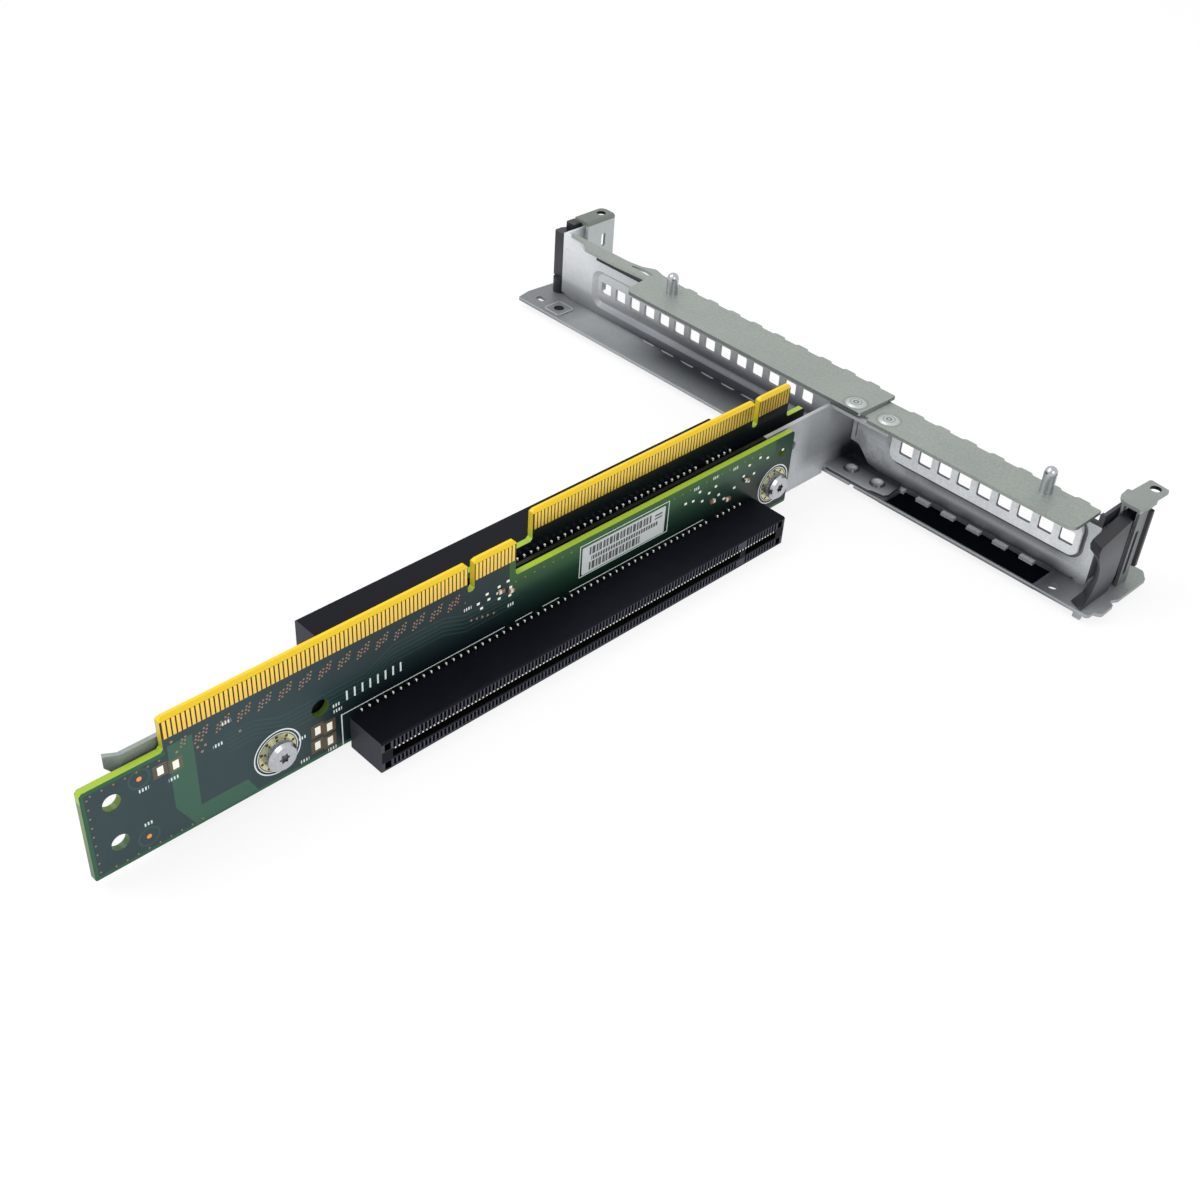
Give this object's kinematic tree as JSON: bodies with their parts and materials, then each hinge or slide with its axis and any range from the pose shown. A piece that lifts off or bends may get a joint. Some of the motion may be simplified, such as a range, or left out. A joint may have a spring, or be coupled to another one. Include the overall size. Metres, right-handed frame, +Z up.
{
  "type": "server riser card bracket",
  "caption": "Server riser bracket with two edge-connector boards and a vented slot crossbar with latches.",
  "frame": {"origin": "middle of the whole object's footprint, on the plane that the lower card slot rests on", "axes": "+X along the crossbar towards the short cover, +Y from the boards' free end to the covers, +Z up along the card edges"},
  "size_m": [0.2014, 0.2392, 0.0319],
  "materials": {
    "plated_steel": "satin",
    "bright_steel": "polished",
    "circuit_board": "satin",
    "gold_contacts": "polished",
    "black_plastic": "satin",
    "solder": "satin",
    "label_paper": "matte",
    "black_film": "matte",
    "chip_body": "matte"
  },
  "bodies": {
    "frame": {"web_plate": "plated_steel", "crossbar_base": "plated_steel", "left_top_plate": "plated_steel", "right_top_plate": "plated_steel", "left_slot_cover": "plated_steel", "right_slot_cover": "plated_steel", "left_end_plate": "plated_steel", "right_end_plate": "plated_steel", "guide_pins": "bright_steel", "top_rivets": "plated_steel", "foot_rivets": "bright_steel", "front_board": "circuit_board", "rear_board": "circuit_board", "front_gold_fingers": "gold_contacts", "rear_gold_fingers": "gold_contacts", "front_slot_housing": "black_plastic", "rear_slot_housing": "black_plastic", "front_slot_tails": "solder", "rear_slot_tails": "solder", "front_board_screws": "bright_steel", "rear_board_screws": "bright_steel", "board_standoffs": "plated_steel", "board_label": "label_paper", "base_pad": "black_film", "chip_parts": "chip_body"},
    "left_lever": {"left_latch": "black_plastic"},
    "right_lever": {"right_latch": "black_plastic"}
  },
  "joints": [
    {"name": "left_latch_hinge", "type": "hinge", "parent": "frame", "child": "left_lever", "pos_m": [-0.09534, 0.1107, 0.0123], "axis": [0, 0, 1], "range_deg": [-25, 0]},
    {"name": "right_latch_hinge", "type": "hinge", "parent": "frame", "child": "right_lever", "pos_m": [0.09426, 0.1089, 0.0123], "axis": [0, 0, 1], "range_deg": [0, 18]}
  ]
}
